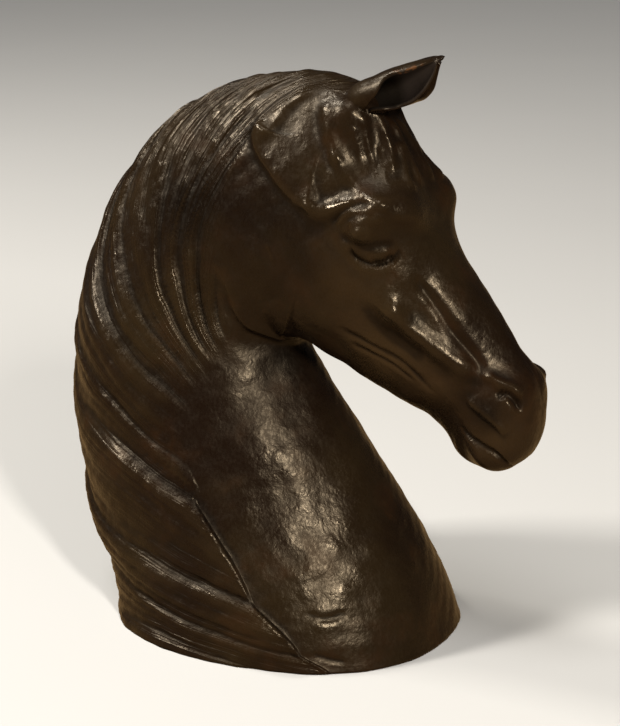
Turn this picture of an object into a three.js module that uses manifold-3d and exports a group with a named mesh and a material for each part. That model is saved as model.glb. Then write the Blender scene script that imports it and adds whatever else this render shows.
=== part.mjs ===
// Leather horse head bust: head, neck and mane moulded as one body, with two rolled leather ears.
// Millimetres, +X towards the nose, +Y to the horse's left, +Z up, origin in the middle of the underside.

import * as THREE from 'three';
import { ParametricGeometry } from 'three/addons/geometries/ParametricGeometry.js';
import { mergeVertices } from 'three/addons/utils/BufferGeometryUtils.js';
import Module from 'manifold-3d';

const wasm = await Module();
wasm.setup();

// Ribs of the body, from the underside up the neck, over the poll and down the face to the lips.
// Each rib is a flat section square to the middle plane: back is its end on the mane or face side, front its
// end on the breast, throat or chin side, as [x, z], and half its half widths near the front, midway and near
// the back.
const RIBS = [
  { back: [-119.5, 0], front: [126, 0], half: [101.5, 106.5, 109] },
  { back: [-130.5, 28], front: [117, 26], half: [97.5, 103, 99] },
  { back: [-152.6, 67], front: [100, 65], half: [86, 94, 88] },
  { back: [-159.5, 115], front: [70, 113], half: [71, 82, 80] },
  { back: [-165, 162], front: [42, 154], half: [60, 73, 72] },
  { back: [-163.5, 210.5], front: [21, 186], half: [52, 65, 65] },
  { back: [-148.5, 256], front: [13, 197], half: [48.5, 57, 55] },
  { back: [-127.3, 304.5], front: [12, 202], half: [46.5, 51, 47] },
  { back: [-92.6, 348.4], front: [12, 204], half: [45.5, 47, 41] },
  { back: [-46.2, 376.9], front: [12, 206], half: [45, 45, 36] },
  { back: [0, 388.3], front: [13, 207], half: [45, 45, 34] },
  { back: [38, 387], front: [16, 207], half: [45, 45, 36] },
  { back: [65, 377.5], front: [21, 206], half: [45, 46, 37] },
  { back: [82.8, 357.3], front: [28.2, 203.8], half: [44, 46, 38.5] },
  { back: [98.3, 332.2], front: [37.2, 199.6], half: [42, 46, 43.5] },
  { back: [112.8, 301.5], front: [49.2, 192.4], half: [35.5, 44, 46] },
  { back: [129, 272], front: [67.6, 181.2], half: [28.5, 38, 37] },
  { back: [150.5, 246.3], front: [89.6, 171.2], half: [23.5, 32, 31] },
  { back: [169.2, 222.2], front: [110.2, 163.2], half: [20.5, 28, 25] },
  { back: [180, 207], front: [124, 153], half: [20, 27, 26] },
  { back: [188, 192], front: [131.5, 140.5], half: [20, 28, 29] },
  { back: [190, 174], front: [143, 134], half: [19, 27, 28] },
  { back: [188.6, 156.5], front: [156, 132.8], half: [16, 23, 22] },
  { back: [183.3, 146.2], front: [168.3, 136], half: [10, 14, 13] },
  { back: [176.6, 141], front: [176.6, 141], half: [0, 0, 0] },
];
const LAST_RIB = RIBS.length - 1;
const WIDTH_STATION = 0.6;

// Roundness of the sections: 1 is an ellipse, less is squarer.
const NECK_ROUNDNESS = 0.85;
const FOREHEAD_SQUARING = { by: 0.15, ribs: [8, 11] };
const MUZZLE_ROUNDING = { by: 0.12, ribs: [16, 19] };

// Rows of facets between the named ribs, and columns around, closer together towards the mane and the face.
const ROWS = [
  { to: 5, rows: 26 },
  { to: 9, rows: 12 },
  { to: 16, rows: 23 },
  { to: LAST_RIB, rows: 15 },
];
const COLUMNS = 54;
const CROWDING = 0.3;

// Mane: locks leave the crest line and sweep down and forward to the mane's edge, on both sides.
// The edge is an angle from the crest, in degrees, at each of the first ribs.
const MANE_EDGE = [126, 113, 104, 98, 103, 116, 124, 119, 104, 82, 54, 30];
const MANE_REACH = 105;
const MANE_FADE = [9.6, 11];
// A lock is named by the rib where it meets the edge, and the locks part at these rib numbers.
const LOCK_BOUNDS = [-6, -3.6, -2.2, -1, 0, 0.62, 1.39, 2.53, 3, 3.95, 4.5, 5.25, 5.9, 6.55, 7.6, 9, 11, 14];
const LOCK_SWEEP = { drop: 1.4, gain: 0.72, least: -1, bend: [1.15, 1.15, 1.12, 1.05, 0.85, 0.7, 0.6] };
const LOCK_LEAN = { by: 0.42, degrees: [30, 88] };
const LOCK_HEIGHT = 6.5;
const LOCK_BED = 3.6;
const LOCK_CREST = 0.78;
const LOCK_LEAST = 0.5;
const LOCK_FULL_WIDTH = 0.9;
const LOCK_THINNING = { by: 0.7, ribs: [6.5, 9] };
const LOCK_FOOT = { ribs: [0, 0.9], left: 0.35 };
const LOCK_TIP = { stagger: 6, soft: 10 };
const LOCK_LIP = { rise: 2.8, inside: 6, spread: 8, ribs: [7, 9] };
const LOCK_CHANCE = { step: 12.9898, start: 78.233, scale: 43758.5453 };
const LABEL_HALVINGS = 30;

// Direction of the face line and of the way out of the forehead, for the swellings of the head.
const FACE = new THREE.Vector3(0.545, 0, -0.839);
const BROW = new THREE.Vector3(0.839, 0, 0.545);

// Relief of the head. Points are on the left half; the right half mirrors them.
// A swelling has a middle, half sizes along the face, out of the forehead and across, and a height.
const SWELLINGS = {
  jaw_disc: { at: [28, 46, 252], size: [40, 34, 30], height: 3 },
  orbit: { at: [91, 45, 309], size: [15.5, 22, 30], height: 12 },
  ear_root: { at: [60, 21, 366], size: [14, 14, 14], height: 9 },
  brow_corner: { at: [107, 31, 304], size: [11, 12, 14], height: 5 },
  jaw_angle: { at: [28, 33, 228], size: [18, 18, 20], height: 2.5 },
  brow_bulge: { at: [84.5, 45, 291.5], size: [6.5, 13, 25], height: 5 },
  eye_socket: { at: [92, 48, 281], size: [11, 17, 25], height: -4 },
  eyeball: { at: [90, 46, 281], size: [8, 12, 25], height: 5 },
  hollow_above_eye: { at: [79, 36, 338], size: [12, 9, 25], height: -3.5 },
  nostril_wing: { at: [176, 24, 192], size: [15, 14, 22], height: 4.5 },
  nostril: { at: [179, 24, 190], size: [6, 4.5, 14], height: -5 },
  lower_lip: { at: [158, 20, 148], size: [12, 9, 20], height: 3 },
};
// A ridge runs along a line, or a groove where its height is negative.
const RIDGES = {
  neck_edge: {
    line: [
      [-32, 46, 236], [-24, 45, 218], [-17, 43, 202], [-11, 44, 190], [-4, 46, 175],
      [3, 46, 163], [14, 48, 146], [27, 50, 128], [40, 55, 107],
    ],
    height: 3.4,
    width: 19,
  },
  rear_arch: {
    line: [[43, 45, 307], [53, 44, 310], [60, 43, 313], [70, 41, 318]],
    height: 4.6,
    width: 7.5,
  },
  front_arch: {
    line: [[73, 37, 329], [82, 38, 321], [88, 38, 316], [97, 37, 309]],
    height: 2.2,
    width: 7,
  },
  shade_under_brow: {
    line: [[62, 46, 290], [73, 46, 287], [84, 46, 287], [94, 43, 289], [102, 40, 291]],
    height: -2.8,
    width: 3.5,
  },
  eye_slit: {
    line: [[74, 46, 282], [80, 46, 275], [87, 46, 273], [95, 45, 274], [105, 39, 282]],
    height: -3.5,
    width: 3,
  },
  temple_muscle: {
    line: [[41, 22, 375], [47, 29, 362], [55, 37, 345], [66, 41, 330], [73, 42, 321]],
    height: 2.5,
    width: 5,
  },
  temple_groove: {
    line: [[33, 25, 370], [40, 33, 355], [51, 39, 338], [61, 43, 323]],
    height: -2.5,
    width: 5,
  },
  cheek_crest: {
    line: [[90, 47, 271], [95, 44, 254], [105, 39, 236], [116, 36, 227], [129, 33, 219], [154, 25, 200]],
    height: 5.2,
    width: 6.5,
  },
  upper_cheek_crest: {
    line: [[89, 47, 273], [93, 45, 262], [96, 43, 252], [100, 41, 243]],
    height: 2.5,
    width: 5.5,
  },
  cheek_hollow: {
    line: [[82, 44, 252], [87, 42, 240], [96, 39, 227], [110, 35, 217], [124, 32, 208]],
    height: -2,
    width: 7,
  },
  nasal_groove: {
    line: [[113, 35, 269], [129, 29, 244], [137, 28, 232], [146, 25, 221], [161, 23, 202]],
    height: -2.2,
    width: 4,
  },
  nasal_bone: {
    line: [[120, 29, 266], [137, 24, 242], [148, 22, 228], [157, 20, 214], [166, 20, 203]],
    height: 0.9,
    width: 7,
  },
  jaw_bar_groove: {
    line: [[60, 37, 228], [89, 34, 214], [105, 31, 206], [125, 24, 186]],
    height: -2,
    width: 4,
  },
  mouth: {
    line: [[176, 13, 142], [174, 24, 148], [168, 26, 154], [159, 26, 158], [150, 23, 162], [142, 20, 168]],
    height: -3.5,
    width: 3,
  },
};
// A fold rises on one side of its line and fades away from it over its reach. Its height grows from both
// ends of the line over the shares given as taper.
const FOLDS = {
  jaw: {
    line: [
      [18, 14, 211], [8, 19, 211], [2, 26, 213.5], [-6, 33, 217.5], [-11, 37, 222],
      [-16, 41, 231], [-20, 44, 247], [-28, 46, 261], [-35, 47, 278], [-37, 44, 300],
    ],
    height: 5.5,
    reach: 28,
    edge: 4,
    taper: [0.15, 0.75],
  },
  temple: {
    line: [
      [52, 45, 309], [42, 45, 308], [33, 44, 310], [22, 43, 318], [12, 40, 327],
      [2, 37, 336], [-4, 33, 345], [-5, 29, 353], [2, 26, 362], [14, 23, 370],
    ],
    height: 4.2,
    reach: 22,
    edge: 4,
    taper: [0.15, 0.3],
  },
};
const LINE_STEPS = 40;
const RIDGE_TAPER = [0.18, 0.18];
const LINE_DEPTH = 22;

// Forelock: strands that fall from between the ears and spread over the forehead, one for each end angle.
const FORELOCK = {
  ribs: [11.2, 15],
  ends: [4, 18, 33, 49],
  start: 0.45,
  height: 2.6,
  width: 0.32,
  taper: 0.2,
};

// Ears: a rolled leaf of leather, open towards the front and the outside. Stations at equal steps along the
// right leaf give its middle, its radius, and the wraps to the outer and inner rim, in degrees from its back.
const EAR = {
  opening: [0.639, -0.764, -0.089],
  stations: [
    { at: [52.5, -11, 365.6], radius: 8, outer: 222, inner: 130 },
    { at: [66.4, -14.2, 375.2], radius: 10, outer: 208, inner: 145 },
    { at: [78.1, -14.8, 379.2], radius: 11.2, outer: 164, inner: 152 },
    { at: [85.5, -14, 382.5], radius: 11.6, outer: 123, inner: 113 },
    { at: [93.6, -13.2, 385.8], radius: 11.6, outer: 111, inner: 101 },
    { at: [101.5, -11.5, 390.9], radius: 9.6, outer: 121, inner: 91 },
    { at: [108.4, -8.4, 396.2], radius: 6.4, outer: 123, inner: 69 },
    { at: [111.8, -5.8, 400.3], radius: 2.8, outer: 127, inner: 53 },
  ],
  thickness: 2.6,
  rows: 13,
  columns: 11,
};
const CLEARANCE = 0.3;

// Step for measuring directions on the body, and the distance within which corners are one.
const NORMAL_STEP = 0.02;
const SAME_CORNER = 0.001;

// Colours of the leather.
const LEATHER = { color: 0x2a1c11, roughness: 0.38, metalness: 0 };
const EAR_LEATHER = { color: 0x33200f, roughness: 0.5, metalness: 0 };

// Smooth step from 0 at the first bound to 1 at the second.
function ease(from, to, x) {
  return THREE.MathUtils.smoothstep((x - from) / (to - from), 0, 1);
}

// Value at a station of the smooth curve through equally spaced values.
function smoothThrough(values, station) {
  const last = values.length - 1;
  const i = THREE.MathUtils.clamp(Math.floor(station), 0, last - 1);
  const t = station - i;
  const slope = (k) => {
    const before = Math.max(k - 1, 0);
    const after = Math.min(k + 1, last);
    return (values[after] - values[before]) / (after - before);
  };
  const rise = values[i + 1] - values[i];
  const bend = slope(i) + slope(i + 1) - 2 * rise;
  return values[i] + t * (slope(i) + t * (rise - slope(i) - bend + t * bend));
}

const RIB_COLUMNS = {
  backX: RIBS.map((rib) => rib.back[0]),
  backZ: RIBS.map((rib) => rib.back[1]),
  frontX: RIBS.map((rib) => rib.front[0]),
  frontZ: RIBS.map((rib) => rib.front[1]),
  low: RIBS.map((rib) => rib.half[0]),
  mid: RIBS.map((rib) => rib.half[1]),
  up: RIBS.map((rib) => rib.half[2]),
};

// Point of the plain body at a rib number and an angle from the crest, positive on the right side.
function plainPoint(rib, angle) {
  const at = {};
  for (const [name, values] of Object.entries(RIB_COLUMNS)) {
    at[name] = smoothThrough(values, rib);
  }
  const power =
    NECK_ROUNDNESS -
    FOREHEAD_SQUARING.by * ease(...FOREHEAD_SQUARING.ribs, rib) +
    MUZZLE_ROUNDING.by * ease(...MUZZLE_ROUNDING.ribs, rib);
  const along = Math.sign(Math.cos(angle)) * Math.abs(Math.cos(angle)) ** power;
  const across = -Math.sign(Math.sin(angle)) * Math.abs(Math.sin(angle)) ** power;
  const lean = (at.up - at.low) / (2 * WIDTH_STATION);
  const belly = (at.up + at.low - 2 * at.mid) / (2 * WIDTH_STATION ** 2);
  const half = Math.max(at.mid + lean * along + belly * along ** 2, 0);
  return new THREE.Vector3(
    (at.backX + at.frontX) / 2 + ((at.backX - at.frontX) / 2) * along,
    half * across,
    (at.backZ + at.frontZ) / 2 + ((at.backZ - at.frontZ) / 2) * along,
  );
}

// Outward direction of the plain body at a rib number and an angle.
function plainNormal(rib, angle) {
  const inside = THREE.MathUtils.clamp(rib, NORMAL_STEP, LAST_RIB - NORMAL_STEP);
  const up = plainPoint(inside + NORMAL_STEP, angle).sub(plainPoint(inside - NORMAL_STEP, angle));
  const round = plainPoint(inside, angle + NORMAL_STEP).sub(plainPoint(inside, angle - NORMAL_STEP));
  return round.cross(up).normalize();
}

// A line of the relief as close points with their directions.
function sampledLine(points) {
  const curve = new THREE.CatmullRomCurve3(points.map((point) => new THREE.Vector3(...point)));
  const line = [];
  for (let i = 0; i <= LINE_STEPS; i += 1) {
    const part = i / LINE_STEPS;
    line.push({ at: curve.getPoint(part), heading: curve.getTangent(part), part });
  }
  return line;
}

const RIDGE_LINES = Object.values(RIDGES).map((ridge) => ({ ...ridge, line: sampledLine(ridge.line) }));
const FOLD_LINES = Object.values(FOLDS).map((fold) => ({ ...fold, line: sampledLine(fold.line) }));

// Place of a line that is closest to a point.
function closestOn(line, point) {
  let best = line[0];
  for (const place of line) {
    if (place.at.distanceToSquared(point) < best.at.distanceToSquared(point)) {
      best = place;
    }
  }
  return best;
}

// Step from a place of a line to a point, measured in the skin.
function stepInSkin(place, point, normal) {
  const away = point.clone().sub(place.at);
  return away.addScaledVector(normal, -away.dot(normal));
}

// Share of a line's height that is left where the line lies far above or below the skin.
function nearSkin(place, point, normal) {
  const depth = point.clone().sub(place.at).dot(normal);
  return Math.exp(-((depth / LINE_DEPTH) ** 4));
}

// Share of a line's height that is left near its two ends.
function lineTaper(part, [start, end]) {
  return ease(0, start, part) * ease(0, end, 1 - part);
}

// Height of the head's relief over the plain body. The point and its outward direction are on the left half.
function headRelief(point, normal) {
  let height = 0;
  for (const swelling of Object.values(SWELLINGS)) {
    const away = point.clone().sub(new THREE.Vector3(...swelling.at));
    const [face, brow, side] = swelling.size;
    const reach = (away.dot(FACE) / face) ** 2 + (away.dot(BROW) / brow) ** 2 + (away.y / side) ** 2;
    height += swelling.height * Math.exp(-reach);
  }
  for (const ridge of RIDGE_LINES) {
    const place = closestOn(ridge.line, point);
    const reach = stepInSkin(place, point, normal).lengthSq() / ridge.width ** 2;
    const share = lineTaper(place.part, RIDGE_TAPER) * nearSkin(place, point, normal);
    height += ridge.height * Math.exp(-reach) * share;
  }
  for (const fold of FOLD_LINES) {
    const place = closestOn(fold.line, point);
    const away = stepInSkin(place, point, normal);
    const side = away.dot(normal.clone().cross(place.heading).normalize());
    const along = Math.max(away.lengthSq() - side ** 2, 0) / fold.reach ** 2;
    const width = side > 0 ? fold.reach : fold.edge;
    const share = lineTaper(place.part, fold.taper) * nearSkin(place, point, normal);
    height += fold.height * Math.exp(-((side / width) ** 2) - along) * share;
  }
  return height;
}

// Rib number at which the lock through a rib number and an angle meets the mane's edge, found by halving.
function lockLabel(rib, degrees) {
  const turned = degrees / MANE_REACH;
  const { drop, gain, least, bend } = LOCK_SWEEP;
  let low = -LAST_RIB;
  let high = LAST_RIB;
  for (let i = 0; i < LABEL_HALVINGS; i += 1) {
    const label = (low + high) / 2;
    const fall = drop + gain * Math.max(label, least);
    const power = 1 / smoothThrough(bend, THREE.MathUtils.clamp(label, 0, bend.length - 1));
    if (label + fall * (1 - turned ** power) < rib) {
      low = label;
    } else {
      high = label;
    }
  }
  return low + LOCK_LEAN.by * (1 - ease(...LOCK_LEAN.degrees, degrees));
}

// The lock at a label, its width and the share of it that is crossed.
function lockAt(label) {
  const last = LOCK_BOUNDS.length - 2;
  let lock = 0;
  while (lock < last && label >= LOCK_BOUNDS[lock + 1]) {
    lock += 1;
  }
  const width = LOCK_BOUNDS[lock + 1] - LOCK_BOUNDS[lock];
  return { lock, width, across: THREE.MathUtils.clamp((label - LOCK_BOUNDS[lock]) / width, 0, 1) };
}

// A repeatable number between 0 and 1 for each lock.
function lockChance(lock) {
  const wave = Math.sin(lock * LOCK_CHANCE.step + LOCK_CHANCE.start) * LOCK_CHANCE.scale;
  return wave - Math.floor(wave);
}

// Height of the mane: rounded locks of uneven width that overlap like shingles, ending in staggered tips.
function maneRelief(rib, angle) {
  const degrees = Math.abs(THREE.MathUtils.radToDeg(angle));
  const { lock, width, across } = lockAt(lockLabel(rib, degrees));
  const quarter = Math.PI / 2;
  const round =
    across < LOCK_CREST
      ? Math.sin((across / LOCK_CREST) * quarter)
      : Math.cos(((across - LOCK_CREST) / (1 - LOCK_CREST)) * quarter);
  const chance = LOCK_LEAST + (1 - LOCK_LEAST) * lockChance(lock);
  const full = THREE.MathUtils.clamp(width / LOCK_FULL_WIDTH, LOCK_LEAST, 1);
  const thin = 1 - LOCK_THINNING.by * ease(...LOCK_THINNING.ribs, rib);
  const edge = smoothThrough(MANE_EDGE, THREE.MathUtils.clamp(rib, 0, MANE_EDGE.length - 1));
  const tip = edge - LOCK_TIP.stagger * lockChance(lock + 1) * Math.abs(2 * across - 1);
  const cover = ease(0, LOCK_TIP.soft, tip - degrees) * (1 - ease(...MANE_FADE, rib));
  const foot = LOCK_FOOT.left + (1 - LOCK_FOOT.left) * ease(...LOCK_FOOT.ribs, rib);
  const fromLip = (tip - degrees - LOCK_LIP.inside) / LOCK_LIP.spread;
  const lip = LOCK_LIP.rise * Math.exp(-(fromLip ** 2)) * (1 - ease(...LOCK_LIP.ribs, rib));
  return cover * foot * (LOCK_HEIGHT * round * chance * full * thin + lip - LOCK_BED);
}

// Height of the forelock's strands, which spread apart down the forehead.
function forelockRelief(rib, angle) {
  const [top, bottom] = FORELOCK.ribs;
  const part = (rib - top) / (bottom - top);
  if (part < 0 || part > 1) {
    return 0;
  }
  const degrees = Math.abs(THREE.MathUtils.radToDeg(angle));
  const spread = FORELOCK.start + (1 - FORELOCK.start) * part;
  const gap = (FORELOCK.ends[1] - FORELOCK.ends[0]) * spread;
  let height = 0;
  for (const end of FORELOCK.ends) {
    height += Math.exp(-(((degrees - end * spread) / (gap * FORELOCK.width)) ** 2));
  }
  return height * FORELOCK.height * ease(0, FORELOCK.taper, part) * ease(0, FORELOCK.taper, 1 - part);
}

// Point of the finished body, raised by a clearance where asked. The underside stays flat.
function bodyPoint(rib, angle, raise) {
  const point = plainPoint(rib, angle);
  const normal = plainNormal(rib, angle);
  const mirror = new THREE.Vector3(1, point.y < 0 ? -1 : 1, 1);
  const relief = headRelief(point.clone().multiply(mirror), normal.clone().multiply(mirror));
  const height = relief + maneRelief(rib, angle) + forelockRelief(rib, angle) + raise;
  point.addScaledVector(normal, height);
  point.z = rib === 0 ? -raise : Math.max(point.z, -raise);
  return point;
}

// Rib numbers of the rows of facets, from the underside to the lips.
function rowRibs() {
  const ribs = [0];
  for (const zone of ROWS) {
    const from = ribs[ribs.length - 1];
    for (let i = 1; i <= zone.rows; i += 1) {
      ribs.push(from + ((zone.to - from) * i) / zone.rows);
    }
  }
  return ribs;
}

// Closed solid from a surface whose edges meet: shared corners are merged and empty facets dropped.
function solidFrom(surface) {
  surface.deleteAttribute('normal');
  surface.deleteAttribute('uv');
  const merged = mergeVertices(surface, SAME_CORNER);
  const corners = merged.index.array;
  const facets = [];
  for (let i = 0; i < corners.length; i += 3) {
    const [a, b, c] = corners.slice(i, i + 3);
    if (a !== b && b !== c && c !== a) {
      facets.push(a, b, c);
    }
  }
  const vertProperties = new Float32Array(merged.attributes.position.array);
  return new wasm.Manifold(new wasm.Mesh({ numProp: 3, vertProperties, triVerts: new Uint32Array(facets) }));
}

// Drawable shape of a solid.
function shapeOf(solid) {
  const mesh = solid.getMesh();
  const shape = new THREE.BufferGeometry();
  shape.setAttribute('position', new THREE.BufferAttribute(mesh.vertProperties, 3));
  shape.setIndex(new THREE.BufferAttribute(mesh.triVerts, 1));
  shape.computeVertexNormals();
  return shape;
}

// The body as a solid: a surface that starts at the middle of the underside and ends at the lips.
function bodySolid(raise) {
  const ribs = rowRibs();
  const surface = new ParametricGeometry(
    (u, v, target) => {
      const row = Math.round(v * ribs.length) - 1;
      if (row < 0) {
        target.set(0, 0, -raise);
        return;
      }
      const turn = (u % 1) * 2 * Math.PI - Math.PI;
      const angle = turn - CROWDING * Math.sin(turn);
      target.copy(row === ribs.length - 1 ? bodyPoint(LAST_RIB, 0, 0) : bodyPoint(ribs[row], angle, raise));
    },
    COLUMNS,
    ribs.length,
  );
  return solidFrom(surface);
}

const EAR_COLUMNS = {
  x: EAR.stations.map((station) => station.at[0]),
  y: EAR.stations.map((station) => station.at[1]),
  z: EAR.stations.map((station) => station.at[2]),
  radius: EAR.stations.map((station) => station.radius),
  outer: EAR.stations.map((station) => station.outer),
  inner: EAR.stations.map((station) => station.inner),
};
const LAST_EAR_STATION = EAR.stations.length - 1;

// Middle of the right ear's leaf at a station.
function earMiddle(station) {
  const { x, y, z } = EAR_COLUMNS;
  return new THREE.Vector3(smoothThrough(x, station), smoothThrough(y, station), smoothThrough(z, station));
}

// Point of the right ear's wall: station along the ear, sweep across it from the outer to the inner rim, and
// depth in the wall from minus a half on the inner face to a half on the outer face.
function earPoint(station, sweep, depth) {
  const inside = THREE.MathUtils.clamp(station, NORMAL_STEP, LAST_EAR_STATION - NORMAL_STEP);
  const along = earMiddle(inside + NORMAL_STEP).sub(earMiddle(inside - NORMAL_STEP)).normalize();
  const opening = new THREE.Vector3(...EAR.opening);
  opening.addScaledVector(along, -opening.dot(along)).normalize();
  const side = along.clone().cross(opening);
  const from = -smoothThrough(EAR_COLUMNS.outer, station);
  const to = smoothThrough(EAR_COLUMNS.inner, station);
  const angle = THREE.MathUtils.degToRad(from + (to - from) * sweep);
  const middle = smoothThrough(EAR_COLUMNS.radius, station);
  const radius = middle + Math.min(EAR.thickness, middle) * depth;
  return earMiddle(station)
    .addScaledVector(opening, -Math.cos(angle) * radius)
    .addScaledVector(side, Math.sin(angle) * radius);
}

// The right ear as a solid, its root still whole.
function earSolid() {
  const face = EAR.columns + 1;
  const surface = new ParametricGeometry(
    (u, v, target) => {
      const row = Math.round(v * (EAR.rows + 2)) - 1;
      const station = THREE.MathUtils.clamp(row / EAR.rows, 0, 1) * LAST_EAR_STATION;
      const column = Math.round(u * 2 * face) % (2 * face);
      const inside = column < face;
      const sweep = (inside ? column : 2 * face - 1 - column) / EAR.columns;
      const depth = row < 0 || row > EAR.rows ? 0 : (inside ? -1 : 1) / 2;
      target.copy(earPoint(station, sweep, depth));
    },
    2 * face,
    EAR.rows + 2,
  );
  return solidFrom(surface);
}

// A named piece of the bust in its leather.
function namedMesh(name, solid, leather) {
  const mesh = new THREE.Mesh(shapeOf(solid), new THREE.MeshStandardMaterial(leather));
  mesh.name = name;
  return mesh;
}

// The roots of the ears are cut to sit on the head.
const rightEar = earSolid();
const leftEar = rightEar.mirror([0, 1, 0]);
const room = bodySolid(CLEARANCE);

const bust = new THREE.Group();
bust.add(namedMesh('horse_head', bodySolid(0), LEATHER));
bust.add(namedMesh('right_ear', rightEar.subtract(room), EAR_LEATHER));
bust.add(namedMesh('left_ear', leftEar.subtract(room), EAR_LEATHER));

export default bust;
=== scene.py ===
"""Leather horse head bust: the looks of the moulded body and its rolled ears, on a pale studio floor.

Lengths in the tables are millimetres, as in the part's drawing, and meshes are metres. +X points to the nose,
+Y to the horse's left and +Z up. The camera looks at the right side of the head.
"""

import math

import bpy
import numpy as np
from mathutils import Matrix, Vector


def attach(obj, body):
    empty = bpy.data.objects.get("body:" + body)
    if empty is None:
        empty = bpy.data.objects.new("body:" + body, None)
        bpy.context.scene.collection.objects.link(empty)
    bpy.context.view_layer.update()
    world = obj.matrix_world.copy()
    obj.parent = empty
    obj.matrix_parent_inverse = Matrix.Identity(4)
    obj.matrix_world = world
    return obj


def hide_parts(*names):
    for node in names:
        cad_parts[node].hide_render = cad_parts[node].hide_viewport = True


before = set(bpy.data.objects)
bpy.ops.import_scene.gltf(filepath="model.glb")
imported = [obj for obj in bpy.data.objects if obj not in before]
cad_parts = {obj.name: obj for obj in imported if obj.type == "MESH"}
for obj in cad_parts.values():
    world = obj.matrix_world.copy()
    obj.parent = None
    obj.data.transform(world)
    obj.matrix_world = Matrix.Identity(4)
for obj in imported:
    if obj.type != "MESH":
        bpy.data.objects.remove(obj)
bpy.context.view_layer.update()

bl_info = {
    "name": "Leather Horse Head Bust",
    "version": (1, 0, 0),
    "blender": (4, 5, 0),
    "location": "3D View > Sidebar > Bust",
    "description": "Builds the skin, mane, ears and leather of a horse head bust",
    "category": "Object",
}

MM = 0.001

# Ribs of the body: back x, back z, front x, front z, then the half widths near the front, midway and near
# the back.
RIBS = np.array([
    (-119.5, 0, 126, 0, 101.5, 106.5, 109),
    (-130.5, 28, 117, 26, 97.5, 103, 99),
    (-152.6, 67, 100, 65, 86, 94, 88),
    (-159.5, 115, 70, 113, 71, 82, 80),
    (-165, 162, 42, 154, 60, 73, 72),
    (-163.5, 210.5, 21, 186, 52, 65, 65),
    (-148.5, 256, 13, 197, 48.5, 57, 55),
    (-127.3, 304.5, 12, 202, 46.5, 51, 47),
    (-92.6, 348.4, 12, 204, 45.5, 47, 41),
    (-46.2, 376.9, 12, 206, 45, 45, 36),
    (0, 388.3, 13, 207, 45, 45, 34),
    (38, 387, 16, 207, 45, 45, 36),
    (65, 377.5, 21, 206, 45, 46, 37),
    (82.8, 357.3, 28.2, 203.8, 44, 46, 38.5),
    (98.3, 332.2, 37.2, 199.6, 42, 46, 43.5),
    (112.8, 301.5, 49.2, 192.4, 35.5, 44, 46),
    (129, 272, 67.6, 181.2, 28.5, 38, 37),
    (150.5, 246.3, 89.6, 171.2, 23.5, 32, 31),
    (169.2, 222.2, 110.2, 163.2, 20.5, 28, 25),
    (180, 207, 124, 153, 20, 27, 26),
    (188, 192, 131.5, 140.5, 20, 28, 29),
    (190, 174, 143, 134, 19, 27, 28),
    (188.6, 156.5, 156, 132.8, 16, 23, 22),
    (183.3, 146.2, 168.3, 136, 10, 14, 13),
    (176.6, 141, 176.6, 141, 0, 0, 0),
], float)
LAST_RIB = len(RIBS) - 1

# Place of a rib's outer widths, as a share of the way from its middle to its ends.
WIDTH_STATION = 0.6

# Roundness of the sections: 1 is an ellipse, less is squarer. The forehead takes some off and the muzzle
# adds some, each with the ribs over which that comes in.
NECK_ROUNDNESS = 0.85
FOREHEAD_SQUARING = (0.15, 8, 11)
MUZZLE_ROUNDING = (0.12, 16, 19)

# Rows up to a rib, and columns around, closer together towards the mane and the face.
ROWS = ((5, 96), (9, 56), (16, 104), (LAST_RIB, 66))
COLUMNS = (120, 180)
CROWDING = 0.3

# Directions along the face, out of the forehead and across, for the swellings of the head.
FACE_AXES = np.array([(0.545, 0, -0.839), (0.839, 0, 0.545), (0, 1, 0)])

# Swellings of the left half: middle, half sizes along the face, out of the forehead and across, height.
SWELLINGS = {
    "jaw disc": ((28, 46, 252), (40, 34, 30), 3.0),
    "orbit": ((91, 45, 309), (15.5, 22, 30), 12.0),
    "brow bulge": ((81, 45, 292.2), (7.2, 8.6, 25), 7.2),
    "eye socket": ((92, 48, 281), (11, 17, 25), -4.0),
    "eyeball": ((90, 46, 281), (9, 12, 25), 4.2),
    "ear root": ((60, 21, 366), (14, 14, 14), 9.0),
    "brow corner": ((107, 31, 304), (11, 12, 14), 5.0),
    "jaw angle": ((28, 33, 228), (18, 18, 20), 2.5),
    "hollow above the eye": ((79, 36, 338), (12, 9, 25), -3.5),
    "nostril wing": ((176, 24, 192), (15, 14, 22), 4.5),
    "top of the cheek crest": ((98, 42, 247.5), (13, 11, 25), 5.4),
    "lower lip": ((158, 20, 148), (12, 9, 20), 4.5),
}

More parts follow.
